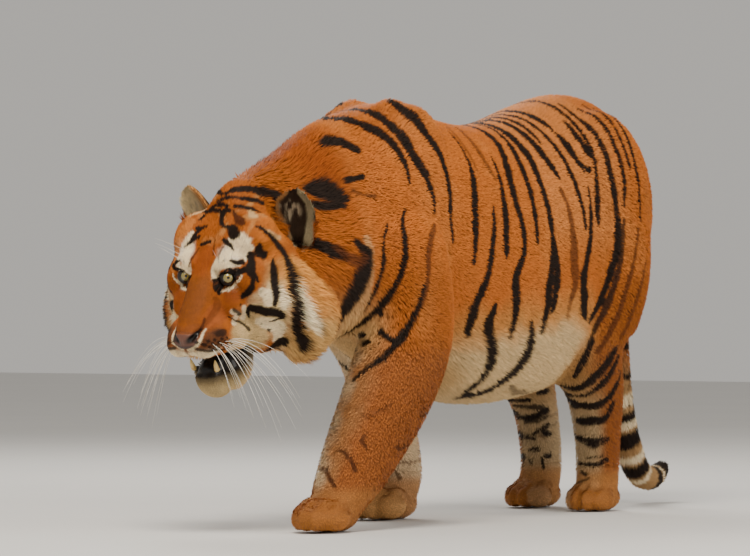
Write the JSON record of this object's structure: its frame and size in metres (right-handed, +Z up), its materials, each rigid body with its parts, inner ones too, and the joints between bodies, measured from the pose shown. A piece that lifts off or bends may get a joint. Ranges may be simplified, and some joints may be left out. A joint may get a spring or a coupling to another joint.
{
  "type": "bengal tiger",
  "caption": "Life-size still model of a tiger in a slow walk, head low, with a thick neck and ruff, and its tail hanging.",
  "frame": {"origin": "bottom centre of the bounding box, at floor level under the animal", "axes": "+Z up, +Y towards the tail, so the nose points to -Y, and +X towards the animal's left"},
  "size_m": [0.5111, 2.1801, 1.0358],
  "materials": {
    "coat": "dense striped fur",
    "eye": "wet gloss",
    "tooth": "smooth enamel"
  },
  "bodies": {
    "root": {"trunk": "coat", "neck": "coat", "shoulder_left": "coat", "shoulder_right": "coat", "foreleg_left": "coat", "foreleg_right": "coat", "forepaw_left": "coat", "forepaw_right": "coat", "thigh_left": "coat", "thigh_right": "coat", "hind_leg_left": "coat", "hind_leg_right": "coat", "hind_paw_left": "coat", "hind_paw_right": "coat", "tail_base": "coat", "tail_middle": "coat", "tail_tip": "coat", "head": "coat", "lower_jaw": "coat", "ear_left": "coat", "ear_right": "coat", "eye_left": "eye", "eye_right": "eye"}
  },
  "joints": []
}
